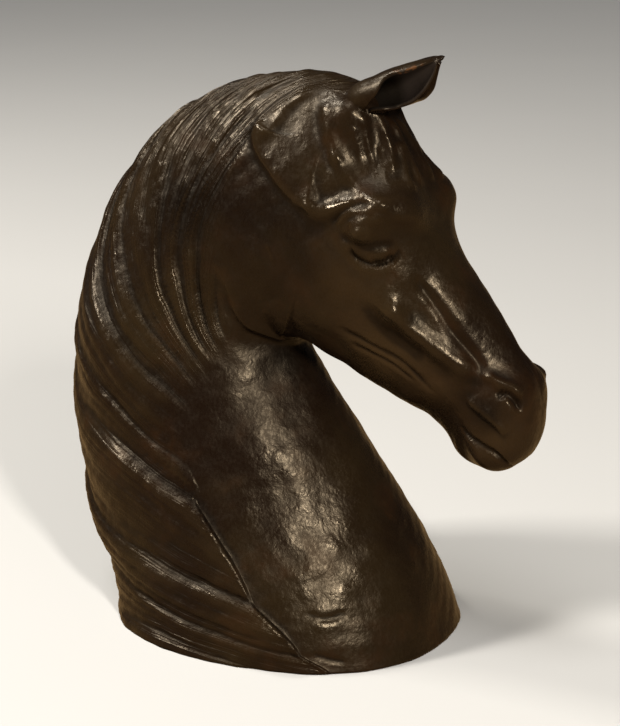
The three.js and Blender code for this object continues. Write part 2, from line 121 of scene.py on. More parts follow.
# Ridges of the left half, or grooves where the height is negative: line, height, width.
RIDGES = {
    "neck edge": (
        (
            (-32, 46, 236), (-24, 45, 218), (-17, 43, 202), (-11, 44, 190), (-4, 46, 175), (3, 46, 163),
            (14, 48, 146), (27, 50, 128), (40, 55, 107),
        ),
        2.7, 25.0,
    ),
    "rear arch": (
        ((36, 44, 309), (46, 45, 305), (54, 44, 305), (62, 43, 308), (70, 41, 311), (80, 39, 313)),
        4.4, 5.2,
    ),
    "front arch": (
        (
            (50, 33, 348), (58, 36, 336), (66, 37, 327), (74, 38, 320), (82, 38, 315), (90, 37, 311),
            (97, 36, 306),
        ),
        2.4, 4.5,
    ),
    "fold under the arch": (
        ((57, 45, 298), (62, 44, 303), (68, 42, 307), (78, 40, 310), (89, 38, 310)),
        -1.8, 2.0,
    ),
    "upper lid fold": (
        ((62, 44, 296), (66, 44, 301), (70, 42, 304), (76, 41, 306), (83, 40, 307), (91, 39, 306)),
        1.8, 2.4,
    ),
    "lower lid fold": (
        ((70, 44, 296), (75, 43, 299), (80, 42, 301), (86, 41, 302), (93, 39, 301)),
        1.5, 2.2,
    ),
    "shade under the brow": (
        ((62, 45, 293), (70, 45, 289), (78, 45, 287), (86, 45, 286), (94, 43, 287), (103, 39, 289)),
        -2.2, 2.8,
    ),
    "eye slit": (
        (
            (73, 46, 285), (74, 46, 280), (78, 46, 276.5), (84, 46, 274.5), (91, 45, 274), (97, 44, 276),
            (102, 41, 280), (106, 38, 285),
        ),
        -3.8, 1.4,
    ),
    "front of the eye": (((87, 46, 275), (95, 45, 277), (102, 42, 281)), -2.5, 2.4),
    "lower lid": (((75, 46, 275), (84, 46, 269.5), (95, 45, 269.5), (105, 41, 275)), 0.6, 2.2),
    "temple muscle": (
        ((41, 22, 375), (45, 27, 365), (50, 33, 352), (55, 36, 343), (61, 39, 334)),
        2.0, 5.0,
    ),
    "temple groove": (((33, 25, 370), (40, 33, 355), (48, 38, 341), (56, 41, 329)), -1.3, 4.6),
    "cheek crest": (
        (
            (98, 43, 255), (103, 41, 244), (109, 38, 236), (117, 36, 229), (129, 33, 220), (144, 28, 209),
            (154, 25, 200),
        ),
        5.2, 6.5,
    ),
    "cheek hollow": (
        ((82, 44, 252), (87, 42, 240), (96, 39, 227), (110, 35, 217), (124, 32, 208)),
        -2.0, 7.0,
    ),
    "nasal groove": (
        (
            (113, 35, 269), (118, 32, 259), (129, 29, 244), (137, 28, 232), (146, 25, 221), (154, 23, 211),
            (161, 23, 202),
        ),
        -2.0, 3.2,
    ),
    "nasal bone": (
        ((120, 29, 266), (127, 26, 255), (137, 24, 242), (148, 22, 228), (157, 20, 214), (166, 20, 203)),
        0.9, 7.0,
    ),
    "upper jaw groove": (
        ((60, 37, 228), (75, 36, 221), (89, 34, 214), (105, 31, 206), (125, 24, 186)),
        -1.8, 2.0,
    ),
    "lower jaw groove": (((66, 34, 217), (80, 33, 211), (98, 30, 203), (112, 26, 191)), -1.4, 1.8),
    "nostril rim": (
        ((156, 24, 206), (163, 22, 202), (169, 21, 199), (174, 20, 197), (178, 19, 194), (181, 19, 189)),
        3.6, 3.2,
    ),
    "nostril": (
        ((168, 24, 189), (172, 23, 193), (176, 21, 191.5), (180, 21, 187), (183, 20, 182)),
        -4.2, 2.3,
    ),
    "lip edge": (
        ((145, 27, 189), (156, 27, 184), (164, 28, 180), (171, 28, 174), (178, 26, 168)),
        1.0, 1.6,
    ),
    "mouth": (
        ((176, 13, 142), (174, 24, 148), (168, 26, 154), (159, 26, 158), (150, 23, 162), (142, 20, 168)),
        -3.0, 1.7,
    ),
    "scratch on the jaw": (((11, 45, 281), (14, 45, 275), (18, 44, 266)), 0.9, 1.3),
    "upper crease of the foot": (((58, 85, 40), (69, 80, 36), (76, 75, 36), (84, 68, 39)), -1.4, 1.6),
    "lower crease of the foot": (((68, 90, 14), (78, 85, 10), (89, 78, 7)), -1.2, 1.5),
}

# Folds of the left half, raised on one side of the line: line, height, reach of the raised side, width of
# the edge, and the parts of the line over which its start and its end rise.
FOLDS = {
    "jaw": (
        (
            (18, 14, 211), (8, 19, 211), (2, 26, 213.5), (-6, 33, 217.5), (-11, 37, 222), (-16, 41, 231),
            (-20, 44, 247), (-28, 46, 261), (-35, 47, 278), (-37, 44, 300),
        ),
        5.5, 28, 3.4, 0.15, 0.75,
    ),
    "temple": (
        (
            (52, 45, 309), (42, 45, 308), (33, 44, 310), (22, 43, 318), (12, 40, 327), (2, 37, 336),
            (-4, 33, 345), (-5, 29, 353), (-1, 27, 360),
        ),
        4.2, 22, 2.4, 0.15, 0.12,
    ),
    "hair over the temple": (
        ((37, 17, 378), (25, 20, 374), (16, 24, 368), (10, 28, 359), (4, 31, 350), (-3, 34, 342)),
        2.2, 12, 3.2, 0.25, 0.25,
    ),
    "lip": (
        ((176, 28, 166), (171, 29, 172), (163, 28, 177), (154, 27, 182), (147, 27, 188)),
        2.0, 8, 1.2, 0.2, 0.2,
    ),
}

# Part of a line over which each end of a ridge rises, the depth off the skin at which lines stop counting,
# and the widths off its line to which a ridge or a fold is worked out.
LINE_TAPER = 0.18
LINE_DEPTH = 22.0
RIDGE_SPAN = 3
FOLD_SPAN = 2.5

# Strands of the forelock on the left half: line, height, width.
FORELOCK = (
    (
        (
            (70, 11, 371), (74, 13, 364), (79, 14, 357), (83, 16, 351), (87, 18, 344), (90, 22, 336),
            (92, 27, 326),
        ),
        2.8, 3.8,
    ),
    (
        ((87, 10, 350), (91, 11, 343), (94, 14, 336), (97, 18, 329), (100, 20, 323), (103, 22, 316)),
        2.6, 3.6,
    ),
    (((67, 19, 365), (70, 22, 358), (73, 24, 351), (77, 27, 342), (82, 30, 332), (86, 32, 324)), 1.7, 3.2),
    (((62, 25, 359), (66, 27, 352), (70, 29, 345), (74, 31, 337), (79, 33, 328)), 1.4, 3.2),
    (((80, 20, 348), (82, 22, 344), (84, 24, 339), (87, 28, 331), (90, 31, 323)), 1.0, 2.6),
    (((82, 4, 365), (92, 6, 350), (100, 8, 335), (107, 10, 319)), 2.4, 3.4),
)

# Spots of the left half: middle, radius, share. Dull ones that polishing hardly reaches, or below zero the
# best polished, then spots of painted light, lighter as if lit from the front, and spots of painted shade.
DULL_SPOTS = (
    ((2, 44, 175), 42, 1.0),
    ((20, 27, 362), 20, 1.0),
    ((-124, 48, 228), 28, 1.0),
    ((-36, 96, 58), 30, 0.9),
    ((-40, 101, 16), 26, 0.9),
    ((60, 42, 311), 20, -0.45),
    ((80, 26, 343), 22, -0.5),
    ((-26, 26, 358), 26, -0.8),
)
# Painted light: the jaw bar, the muzzle, the lips and the cheek, mixed towards a lighter warm brown where
# front light falls.
PAINTED_LIGHT_SPOTS = (
    ((88, 33, 208), 30, 0.95),
    ((122, 27, 190), 18, 0.6),
    ((172, 26, 166), 20, 0.75),
    ((70, 45, 262), 26, 0.4),
)
# Painted shade: the shadow under the jaw and darker patches on the jaw, the mane and by the mouth, mixed
# towards the shade black.
PAINTED_SHADE_SPOTS = (
    ((-52, 43, 302), 30, 0.75),
    ((8, 21, 194), 20, 0.9),
    ((163, 28, 178), 11, 0.85),
    ((8, 45, 294), 22, 0.45),
    ((20, 46, 262), 24, 0.3),
    ((37, 46, 271), 15, 0.35),
    ((-122, 50, 226), 24, 0.6),
)

# Mane: its edge as an angle from the crest at each of the first ribs, the angle that a lock turns through,
# and the ribs over which the locks, the fine hair and the crisp part of the edge end.
MANE_EDGE = np.array([126, 113, 104, 98, 103, 116, 124, 119, 104, 82, 54, 30], float)
MANE_REACH = 105.0
MANE_FADE = (9.6, 11)
HAIR_FADE = (11.4, 12.8)
CRISP_FADE = (2.4, 3.4)

# Sweep of the locks: the labels that part them, their lean and the angles it spans, the drop from the crest
# as a start and a share of the label, and the bend of the sweep at each whole label.
LOCK_BOUNDS = np.array([
    -6, -3.6, -2.2, -1, 0, 0.62, 1.39, 2.53, 3, 3.95, 4.5, 5.25, 5.9, 6.55, 7.6, 9, 11, 14,
])
LOCK_LEAN = (0.42, 30, 88)
SWEEP_DROP = (1.4, 0.72)
SWEEP_BEND = np.array([1.15, 1.15, 1.12, 1.05, 0.85, 0.7, 0.6])
LABEL_HALVINGS = 28

# Locks: crest as a share of the width, the width in labels of a lock of full height, the least share of
# that height, the share lost over the ribs up to the poll, how deep they are sunk into the skin, and how
# far their bounds wander, with the waves of that to a degree and to a label.
LOCK_CREST = 0.78
FULL_LOCK = 0.9
LEAST_LOCK = 0.5
POLL_RIBS = (6.5, 9)
POLL_FLATTENING = 0.7
LOCK_SINK = 0.6
LOCK_WANDER = 0.05
WANDER_WAVES = (0.07, 2.3)

# Cords in a lock: number, crest, share of a lock's height, shift from lock to lock, and wander as a
# multiple of a lock's. Then the least share of its height that a lock or a cord keeps by chance, and the
# seeds.
CORDS_PER_LOCK = 3
CORD_CREST = 0.6
CORD_SHARE = 0.24
CORD_SHIFT = 0.35
CORD_WANDER = 2.4
LEAST_STRAND = 0.5
LOCK_SEED = 1.0
CORD_SEED = 2.0
SHIFT_SEED = 4.0

# Edge of the mane in degrees: depth of the tips, width where it is crisp and what is added where it is
# soft, and the ribs over which the soft part starts and ends.
TIP_DEPTH = 2.5
CRISP_EDGE = 3.2
SOFT_EDGE = 16
SOFT_START = (2.8, 4.2)
SOFT_END = (8, 9.5)

# Lip along the edge: its height as a share of a lock's, its place and width in degrees. Then the share that
# it loses with the ribs for that, and the ribs over which it ends.
LIP = (0.55, 6, 8)
LIP_DROP = (0.8, 3.4, 5)
LIP_END = (7, 9)

# Share of the locks' height at the foot, the rib where they are full, and the cover of hair below the poll.
FOOT_SHARE = 0.35
FOOT_RIB = 0.9
LOW_HAIR = 0.3

# Right ear: direction of its opening, and at equal steps along the leaf its middle, radius, and wraps in
# degrees to the outer and the inner rim. Then the thickness of the leaf, and its rows and columns.
EAR_OPENING = np.array((0.639, -0.764, -0.089))
EAR_STATIONS = np.array([
    (52.5, -11, 365.6, 8, 222, 130),
    (66.4, -14.2, 375.2, 10, 208, 145),
    (78.1, -14.8, 379.2, 11.2, 164, 152),
    (85.5, -14, 382.5, 11.6, 123, 113),
    (93.6, -13.2, 385.8, 11.6, 111, 101),
    (101.5, -11.5, 390.9, 9.6, 121, 91),
    (108.4, -8.4, 396.2, 6.4, 123, 69),
    (111.8, -5.8, 400.3, 2.8, 127, 53),
])
EAR_WALL = 2.6
EAR_GRID = (72, 60)

# Finish of the ears: columns of the worn rim, and the parts of the leaf over which the wear starts and ends
# and over which the painted shade of the hollow fades out.
EAR_RIM_COLUMNS = 4
EAR_RIM_START = (0.5, 0.6)
EAR_RIM_END = (0.75, 0.9)
EAR_HOLLOW_SHADE = (0.4, 0.58)

# Grains of the leather and the floor: noise scale to the metre, detail and roughness.
PATCHES = (9.0, 4.0, 0.55)
CLOUD = (28.0, 3.0, 0.6)
CRINKLE = (120.0, 3.0, 0.55)
HATCH = (480.0, 3.0, 0.6)
HATCH_STRETCH = (1, 1, 0.6)
PORES = (1100.0, 2.0, 0.5)
EAR_CLOUD = (40.0, 4.0, 0.6)
EAR_FIBRE = (300.0, 3.0, 0.6)
EAR_PORES = (900.0, 2.0, 0.5)
FLOOR_MOTTLE = (3.0, 2.0, 0.5)

# Strength of each grain as relief, and its depth in metres where no setting gives it.
CRINKLE_STRENGTH = 0.32
HAIR_STRENGTH = 0.6
HATCH_BUMP = (0.13, 0.0009)
PORE_BUMP = (0.1, 0.0004)
EAR_FIBRE_BUMP = (0.3, 0.001)
EAR_PORE_BUMP = (0.15, 0.0005)

# Hair lines: how close they lie across the locks and along them, the detail of their noise, and the height
# of the fine ones beside the coarse ones.
FINE_HAIR = (24.0, 1.6)
COARSE_HAIR = (8.0, 0.9)
HAIR_DETAIL = 3.0
FINE_HEIGHT = 0.5

# How a grain, the sharpness of the relief or the gap to the mane's edge becomes the share of a colour, a
# height or an amount of roughness: low and high of the one, then what they give of the other.
OLIVE_SHARE = (0.38, 0.66, 0, 1)
RED_SHARE = (0.5, 0.75, 0, 0.6)
WORN_SHARE = (0.1, 1.0, 0, 0.3)
# Painted shade: the share of the shade black that the creases take where the relief lies below its
# surroundings.
CREASE_SHADE_SHARE = (0.0, -0.9, 0, 0.65)
COARSE_HEIGHT = (0.38, 0.62, 0, 1)
RIM_RISE = (0.4, 1.6, 0, 1)
RIM_FALL = (1.6, 4.0, 1, 0)
CLOUD_ROUGHNESS = (0.3, 0.7, -0.05, 0.07)
HATCH_ROUGHNESS = (0.35, 0.65, -0.05, 0.07)
RELIEF_ROUGHNESS = (-0.8, 0.8, 0.14, -0.05)
EAR_OLIVE_SHARE = (0.4, 0.7, 0, 0.9)
EAR_WORN_SHARE = (0.44, 0.6, 0, 0.9)
EAR_CLOUD_ROUGHNESS = (0.3, 0.7, -0.05, 0.08)

# Gloss of the wax, roughness added in the dull spots, that inside the ears and that of the floor, and the
# shade of the floor's mottle.
WAX_SPECULAR = 0.18
DULL_ROUGHNESS = 0.11
INSIDE_ROUGHNESS = 0.75
FLOOR_ROUGHNESS = 0.9
MOTTLE_SHADE = 0.97

# Rounds of averaging behind the relief's sharpness, and the largest gap to the mane's edge that counts.
SHARPNESS_PASSES = 6
GAP_LIMIT = 20

# Area lights: name, the setting of its power, azimuth, elevation, width, height and colour. Then the
# distance of them all from the place that they look at.
LIGHTS = (
    ("front_light", "key_power", 48, 30, 230, 620, (1.0, 0.96, 0.9)),
    ("left_light", "left_power", -55, 38, 480, 480, (1.0, 0.97, 0.92)),
    ("crown_light", "crown_power", -88, 53, 420, 420, (1.0, 0.97, 0.9)),
)
LIGHT_DISTANCE = 3000.0
LIGHT_AIM = np.array((0.0, 0.0, 190.0))

# Even light from above: its direction and spread in degrees, and how far up its lamp hangs. Then the colour
# of the light all round, and the heights between which a reflection turns from it to the room.
SKY_AZIMUTH = -25
SKY_ELEVATION = 72
SKY_SPREAD = 24
SKY_HEIGHT = 2000.0
EVEN_LIGHT = np.array((0.95, 0.93, 0.9))
HORIZON = (0.1, -0.25)

# Floor: half of its side, and how far it lies below the base, so that the two don't share a plane.
FLOOR_HALF_SIDE = 6000.0
FLOOR_DROP = 0.4

# Camera: the photograph's size in pixels, its direction in degrees, distance and aim in millimetres, and
# its scale at the aim. Then the sensor's height in millimetres, and the span of depths that it sees in
# metres.
PHOTO_SIZE = (620, 726)
CAMERA_AZIMUTH = 28.0
CAMERA_ELEVATION = 17.0
CAMERA_DISTANCE = 1300.0
CAMERA_AIM = np.array((25.0, -12.0, 190.0))
PIXELS_PER_MM = 1.459
SENSOR = 36.0
CLIP_START = 0.05
CLIP_END = 50


def ease(low, high, x):
    """Smooth step: 0 up to low, 1 from high, and 3t^2 - 2t^3 between them."""
    t = np.clip((x - low) / (high - low), 0, 1)
    return t * t * (3 - 2 * t)


def smooth_through(values, station):
    """Cubic curve through equally spaced values, each slope the mean of the two steps beside it."""
    values = np.asarray(values, float)
    slopes = np.gradient(values, axis=0)
    i = np.clip(np.floor(station).astype(int), 0, len(values) - 2)
    t = np.asarray(station) - i
    if values.ndim > 1:
        t = t[..., None]
    rise = values[i + 1] - values[i]
    bend = slopes[i] + slopes[i + 1] - 2 * rise
    return values[i] + t * (slopes[i] + t * (rise - slopes[i] - bend + t * bend))


def signed_power(x, power):
    """The size of x raised to a power, with the sign of x."""
    return np.sign(x) * np.abs(x) ** power


def row_ribs():
    """Rib number of each row of the skin's grid, evenly spaced within each zone of ROWS."""
    ribs = [np.zeros(1)]
    low = 0.0
    for high, rows in ROWS:
        ribs.append(np.linspace(low, high, rows + 1)[1:])
        low = high
    return np.concatenate(ribs)


def column_angles():
    """Angle of each column from the crest, positive on the right side, and crowded there and at the crest."""
    left, right = COLUMNS
    turn = np.concatenate([np.linspace(-math.pi, 0, left, False), np.linspace(0, math.pi, right, False)])
    return turn - CROWDING * np.sin(turn)


def plain_skin(rib, angle):
    """Body before carving: at a rib number and an angle, a superellipse section between the rib's two ends.

    The cosine of the angle, to the section's power, runs from the front end to the back end of the rib. The
    sine to the same power times the half width goes across, and the half width is a parabola through three
    widths.
    """
    at = smooth_through(RIBS, rib)[:, None, :]
    squaring, square_from, square_to = FOREHEAD_SQUARING
    rounding, round_from, round_to = MUZZLE_ROUNDING
    power = NECK_ROUNDNESS - squaring * ease(square_from, square_to, rib)
    power = (power + rounding * ease(round_from, round_to, rib))[:, None]
    along = signed_power(np.cos(angle), power)
    across = -signed_power(np.sin(angle), power)
    low, mid, up = at[..., 4], at[..., 5], at[..., 6]
    lean = (up - low) / (2 * WIDTH_STATION)
    belly = (up + low - 2 * mid) / (2 * WIDTH_STATION ** 2)
    half = np.maximum(mid + lean * along + belly * along ** 2, 0)
    x = (at[..., 0] + at[..., 2]) / 2 + (at[..., 0] - at[..., 2]) / 2 * along
    z = (at[..., 1] + at[..., 3]) / 2 + (at[..., 1] - at[..., 3]) / 2 * along
    return np.stack([x, half * across, z], -1)


def grid_normals(points):
    """Outward unit normals of a grid that closes around its columns: the cross of its two steps."""
    around = np.roll(points, -1, 1) - np.roll(points, 1, 1)
    up = np.gradient(points, axis=0)
    normal = np.cross(around, up)
    return normal / (np.linalg.norm(normal, axis=-1, keepdims=True) + 1e-12)


def sampled_line(points, step=1.0):
    """Points about a step apart along the smooth curve through the given points."""
    points = np.asarray(points, float)
    length = np.linalg.norm(np.diff(points, axis=0), axis=1).sum()
    station = np.linspace(0, len(points) - 1, max(int(length / step), 2) + 1)
    return smooth_through(points, station)


def across_line(points, normals, line, reach):
    """How the points within reach of a line lie to it.

    Gives their numbers, signed distance across the line, distance beyond its ends, the part of the line they
    are at and their share of its height. Distances are taken in the skin, without the step along the normal,
    and the share is exp of minus the fourth power of that step over a depth.
    """
    near = np.all((points > line.min(0) - reach) & (points < line.max(0) + reach), axis=1)
    number = np.flatnonzero(near)
    gap = points[number, None, :] - line[None]
    place = np.argmin((gap ** 2).sum(-1), axis=1)
    heading = np.gradient(line, axis=0)[place]
    heading /= np.linalg.norm(heading, axis=1, keepdims=True)
    side = np.cross(normals[number], heading)
    side /= np.linalg.norm(side, axis=1, keepdims=True) + 1e-9
    gap = gap[np.arange(len(number)), place]
    share = np.exp(-((gap * normals[number]).sum(1) / LINE_DEPTH) ** 4)
    return number, (gap * side).sum(1), np.abs((gap * heading).sum(1)), place / (len(line) - 1), share


def line_taper(part):
    """Share of a line's height that is left near its ends."""
    return ease(0, LINE_TAPER, part) * ease(0, LINE_TAPER, 1 - part)


def add_ridge(height, points, normals, line, rise, width):
    """Adds a bell-shaped ridge along a line: rise times exp of minus the squared distance over the width."""
    line = sampled_line(line)
    number, across, beyond, part, share = across_line(points, normals, line, RIDGE_SPAN * width)
    height[number] += rise * np.exp(-(across ** 2 + beyond ** 2) / width ** 2) * line_taper(part) * share


def add_fold(height, points, normals, line, rise, reach, edge, start, end):
    """Adds a fold: a bell that is wide on the line's raised side and narrow on the other."""
    line = sampled_line(line)
    number, across, beyond, part, share = across_line(points, normals, line, FOLD_SPAN * reach)
    width = np.where(across > 0, reach, edge)
    taper = ease(0, start, part) * ease(0, end, 1 - part)
    height[number] += rise * np.exp(-(across / width) ** 2 - (beyond / reach) ** 2) * taper * share


def unevenness(points):
    """Hand-moulded unevenness of tenths of a millimetre: a slow and a quick product of two sine waves."""
    x, y, z = points.T
    slow = np.sin(0.13 * x + 1.7 * np.sin(0.05 * z)) * np.sin(0.11 * z + 0.09 * y)
    quick = np.sin(0.31 * x + 0.17 * y + 1.3 * np.sin(0.09 * z)) * np.sin(0.27 * z - 0.21 * y + 1.1)
    return 0.5 * slow + 0.25 * quick


def head_relief(points, normals):
    """Height of the carving of the head over the plain skin, for points mirrored to the left half."""
    height = np.zeros(len(points))
    for middle, size, rise in SWELLINGS.values():
        away = (points - np.array(middle)) @ FACE_AXES.T / np.array(size)
        height += rise * np.exp(-(away ** 2).sum(1))
    for line, rise, width in RIDGES.values():
        add_ridge(height, points, normals, line, rise, width)
    for fold in FOLDS.values():
        add_fold(height, points, normals, *fold)
    for strand in FORELOCK:
        add_ridge(height, points, normals, *strand)
    return height + unevenness(points)


def spotted(points, spots):
    """Share of a finish at points mirrored to the left half: the sum of a bell about each spot, -1 to 1."""
    total = np.zeros(points.shape[:-1])
    for middle, radius, share in spots:
        total += share * np.exp(-(((points - np.array(middle)) / radius) ** 2).sum(-1))
    return np.clip(total, -1, 1)


def lock_label(rib, degrees):
    """Rib number at which the lock through a place of the mane meets the mane's edge.

    A lock starts on the crest a drop above its label and falls to it as its angle grows to the mane's reach,
    by a power of the share left to turn. The label is found by halving, and it grows by the lean towards the
    crest.
    """
    turned = degrees / MANE_REACH
    low = np.full(turned.shape, -float(LAST_RIB))
    high = np.full(turned.shape, float(LAST_RIB))
    for _ in range(LABEL_HALVINGS):
        label = (low + high) / 2
        drop = SWEEP_DROP[0] + SWEEP_DROP[1] * np.maximum(label, -1)
        bend = smooth_through(SWEEP_BEND, np.clip(label, 0, len(SWEEP_BEND) - 1))
        below = label + drop * (1 - turned ** (1 / bend)) < rib
        low = np.where(below, label, low)
        high = np.where(below, high, label)
    lean, lean_from, lean_to = LOCK_LEAN
    return low + lean * (1 - ease(lean_from, lean_to, degrees))


def chance(number, seed=0.0):
    """A repeatable value from 0 to 1 for each whole number: what a large multiple of a sine leaves over."""
    wave = np.sin(number * 12.9898 + seed * 78.233) * 43758.5453
    return wave - np.floor(wave)


def strands(place, crest, seed):
    """Rounded strands that overlap like shingles: a slow rise, then a steep fall past the crest."""
    strand = np.floor(place)
    across = place - strand
    rise = np.sin(np.clip(across / crest, 0, 1) * math.pi / 2)
    fall = np.cos(np.clip((across - crest) / (1 - crest), 0, 1) * math.pi / 2)
    return rise * fall * (LEAST_STRAND + (1 - LEAST_STRAND) * chance(strand, seed)), strand, across


def mane_relief(rib, angle, lock_height):
    """Height of the mane, the cover of fine hair, the places across and along it, and the gap to its edge.

    The label is cut into locks of uneven width, each with its own height, and each lock into thinner cords.
    The cover ends at the mane's edge, where the locks stand up in a lip over the neck.
    """
    rib, degrees = np.broadcast_arrays(rib[:, None], np.abs(np.degrees(angle))[None])
    to_poll = ease(*POLL_RIBS, rib)
    label = lock_label(rib, degrees)
    bounds = np.arange(len(LOCK_BOUNDS))
    wander = LOCK_WANDER * np.sin(degrees * WANDER_WAVES[0] + label * WANDER_WAVES[1])
    place = np.interp(label + wander, LOCK_BOUNDS, bounds)
    locks, lock, across = strands(place, LOCK_CREST, LOCK_SEED)
    width = np.diff(LOCK_BOUNDS)[np.clip(lock.astype(int), 0, len(LOCK_BOUNDS) - 2)]
    locks = locks * np.clip(width / FULL_LOCK, LEAST_LOCK, 1) * (1 - POLL_FLATTENING * to_poll)
    thin = np.interp(label + CORD_WANDER * wander, LOCK_BOUNDS, bounds) * CORDS_PER_LOCK
    shift = CORD_SHIFT * chance(np.floor(thin / CORDS_PER_LOCK), SHIFT_SEED)
    cords = strands(thin + shift, CORD_CREST, CORD_SEED)[0]
    edge = smooth_through(MANE_EDGE, np.clip(rib, 0, len(MANE_EDGE) - 1))
    soft = ease(*SOFT_START, rib) * (1 - ease(*SOFT_END, rib))
    inside = edge - TIP_DEPTH * (1 - soft) * (1 - np.sin(math.pi * across)) - degrees
    cover = ease(0, CRISP_EDGE + SOFT_EDGE * soft, inside)
    lip_height, lip_place, lip_width = LIP
    lip_loss, drop_from, drop_to = LIP_DROP
    lip = lip_height * np.exp(-((inside - lip_place) / lip_width) ** 2)
    lip = lip * (1 - lip_loss * ease(drop_from, drop_to, rib)) * (1 - ease(*LIP_END, rib))
    foot = FOOT_SHARE + (1 - FOOT_SHARE) * ease(0, FOOT_RIB, rib)
    height = lock_height * (locks + CORD_SHARE * cords + lip - LOCK_SINK)
    height = cover * foot * (1 - ease(*MANE_FADE, rib)) * height
    cover = cover * (LOW_HAIR + (1 - LOW_HAIR) * to_poll) * (1 - ease(*HAIR_FADE, rib))
    return height, cover, label, degrees, inside


def closed_grid_faces(rows, columns):
    """Quads of a grid of rows that closes around its columns, numbered row by row."""
    row, column = np.meshgrid(np.arange(rows - 1), np.arange(columns), indexing="ij")
    after = (column + 1) % columns
    low = row * columns
    high = low + columns
    return np.stack([low + column, low + after, high + after, high + column], -1).reshape(-1, 4)


def mesh_from(name, points, quads, caps=()):
    """A smooth mesh from millimetre points, quads and extra faces, as a new object at the origin."""
    mesh = bpy.data.meshes.new(name)
    mesh.from_pydata((points.reshape(-1, 3) * MM).tolist(), [], quads.tolist() + [list(cap) for cap in caps])
    mesh.update()
    mesh.polygons.foreach_set("use_smooth", np.ones(len(mesh.polygons), bool))
    piece = bpy.data.objects.new(name, mesh)
    bpy.context.scene.collection.objects.link(piece)
    return piece


def add_attribute(piece, name, values):
    """Stores one number for each vertex."""
    layer = piece.data.attributes.new(name, "FLOAT", "POINT")
    layer.data.foreach_set("value", np.asarray(values, np.float32).ravel())


def relief_sharpness(height):
    """How far the carving stands above its surroundings: the height less its mean close by.

    The mean is that of three neighbours around, then of three up and down, a few times over.
    """
    mean = height.copy()
    for _ in range(SHARPNESS_PASSES):
        mean = (mean + np.roll(mean, 1, 1) + np.roll(mean, -1, 1)) / 3
        padded = np.concatenate([mean[:1], mean, mean[-1:]])
        mean = (padded[:-2] + padded[1:-1] + padded[2:]) / 3
    return height - mean


def body_surface(settings):
    """The carved body as points, and the values that the leather takes from each of them.

    The carving is added to the plain skin along its normals. The first row lies level, and nothing goes below
    it.
    """
    rib = row_ribs()
    angle = column_angles()
    skin = plain_skin(rib, angle)
    normal = grid_normals(skin)
    mirror = np.where(skin[..., 1:2] < 0, np.array((1, -1, 1)), np.array((1, 1, 1)))
    left_skin = skin * mirror
    left_normal = normal * mirror
    relief = head_relief(left_skin.reshape(-1, 3), left_normal.reshape(-1, 3)).reshape(skin.shape[:2])
    hair, cover, label, degrees, gap = mane_relief(rib, angle, settings.lock_height / MM)
    height = relief + hair
    points = skin + normal * height[..., None]
    points[0, :, 2] = 0
    points[..., 2] = np.maximum(points[..., 2], 0)
    values = {
        "relief": np.clip(relief_sharpness(height), -1, 1),
        "hair_cover": cover,
        "hair_across": label,
        "hair_along": degrees / 100,
        "mane_gap": np.clip(gap, -GAP_LIMIT, GAP_LIMIT),
        "mane_crisp": np.broadcast_to(1 - ease(*CRISP_FADE, rib)[:, None], height.shape),
        "dull": spotted(left_skin, DULL_SPOTS),
        "warm": spotted(left_skin, PAINTED_LIGHT_SPOTS),
        "dark": spotted(left_skin, PAINTED_SHADE_SPOTS),
    }
    return points, values


def to_tip(grid):
    """The rows of a grid as one list, with the last row drawn together into its mean."""
    return np.concatenate([grid[:-1].reshape(-1, *grid.shape[2:]), grid[-1].mean(0)[None]])


def ear_surface():
    """The right ear's leaf as a closed wall: inner face outwards to the rim and back along the outer face.

    At each part of the leaf's line, an arc of its radius runs from the outer to the inner wrap about the back
    of the leaf, half a wall inside and half a wall outside.
    """
    rows, columns = EAR_GRID
    at = smooth_through(EAR_STATIONS, np.linspace(0, len(EAR_STATIONS) - 1, rows))
    line, radius = at[:, :3], at[:, 3]
    along = np.gradient(line, axis=0)
    along /= np.linalg.norm(along, axis=1, keepdims=True)
    opening = EAR_OPENING - (along @ EAR_OPENING)[:, None] * along
    opening /= np.linalg.norm(opening, axis=1, keepdims=True)
    side = np.cross(along, opening)
    turn = np.radians(-at[:, 4:5] + (at[:, 4:5] + at[:, 5:6]) * np.linspace(0, 1, columns))
    wall = np.minimum(EAR_WALL, radius)
    faces = []
    for depth in (-0.5, 0.5):
        reach = (radius + wall * depth)[:, None]
        back = -(np.cos(turn) * reach)[..., None] * opening[:, None]
        out = back + (np.sin(turn) * reach)[..., None] * side[:, None]
        faces.append(line[:, None] + out)
    return np.concatenate([faces[0], faces[1][:, ::-1]], 1)


